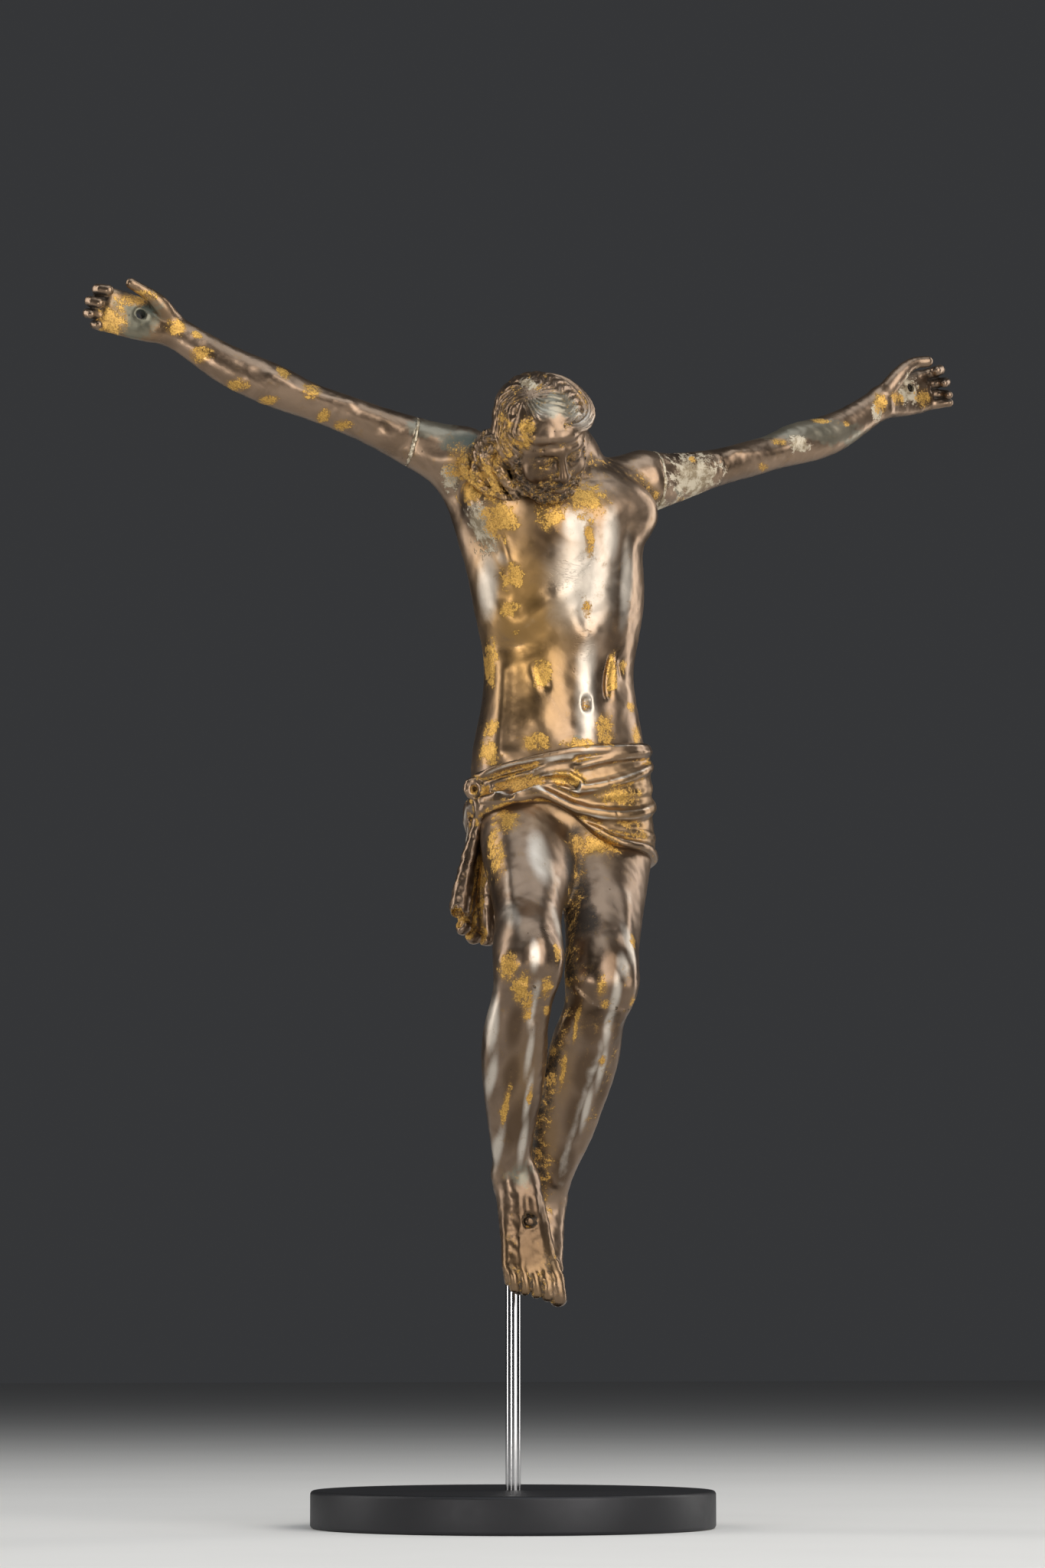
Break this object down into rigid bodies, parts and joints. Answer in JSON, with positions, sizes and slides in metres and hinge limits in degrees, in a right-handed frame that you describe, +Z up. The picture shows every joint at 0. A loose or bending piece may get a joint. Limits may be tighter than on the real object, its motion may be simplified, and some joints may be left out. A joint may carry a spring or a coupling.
{
  "type": "crucifix corpus figure",
  "caption": "Cast bronze figure of the crucified body in a knotted loincloth, arms raised wide, with worn gilding, held up by a slim steel rod on a round foot.",
  "frame": {"origin": "centre of the foot plate's underside, on the axis of the rod", "axes": "+Z up along the rod; the figure faces -Y, and its right arm reaches towards -X"},
  "size_m": [0.3074, 0.1321, 0.3959],
  "materials": {
    "bronze": "worn brown patina with remains of gilding",
    "steel": "polished",
    "black_steel": "satin black"
  },
  "bodies": {
    "root": {"corpus_body": "bronze", "right_arm": "bronze", "left_arm": "bronze", "support_rod": "steel", "foot_plate": "black_steel"}
  },
  "joints": []
}
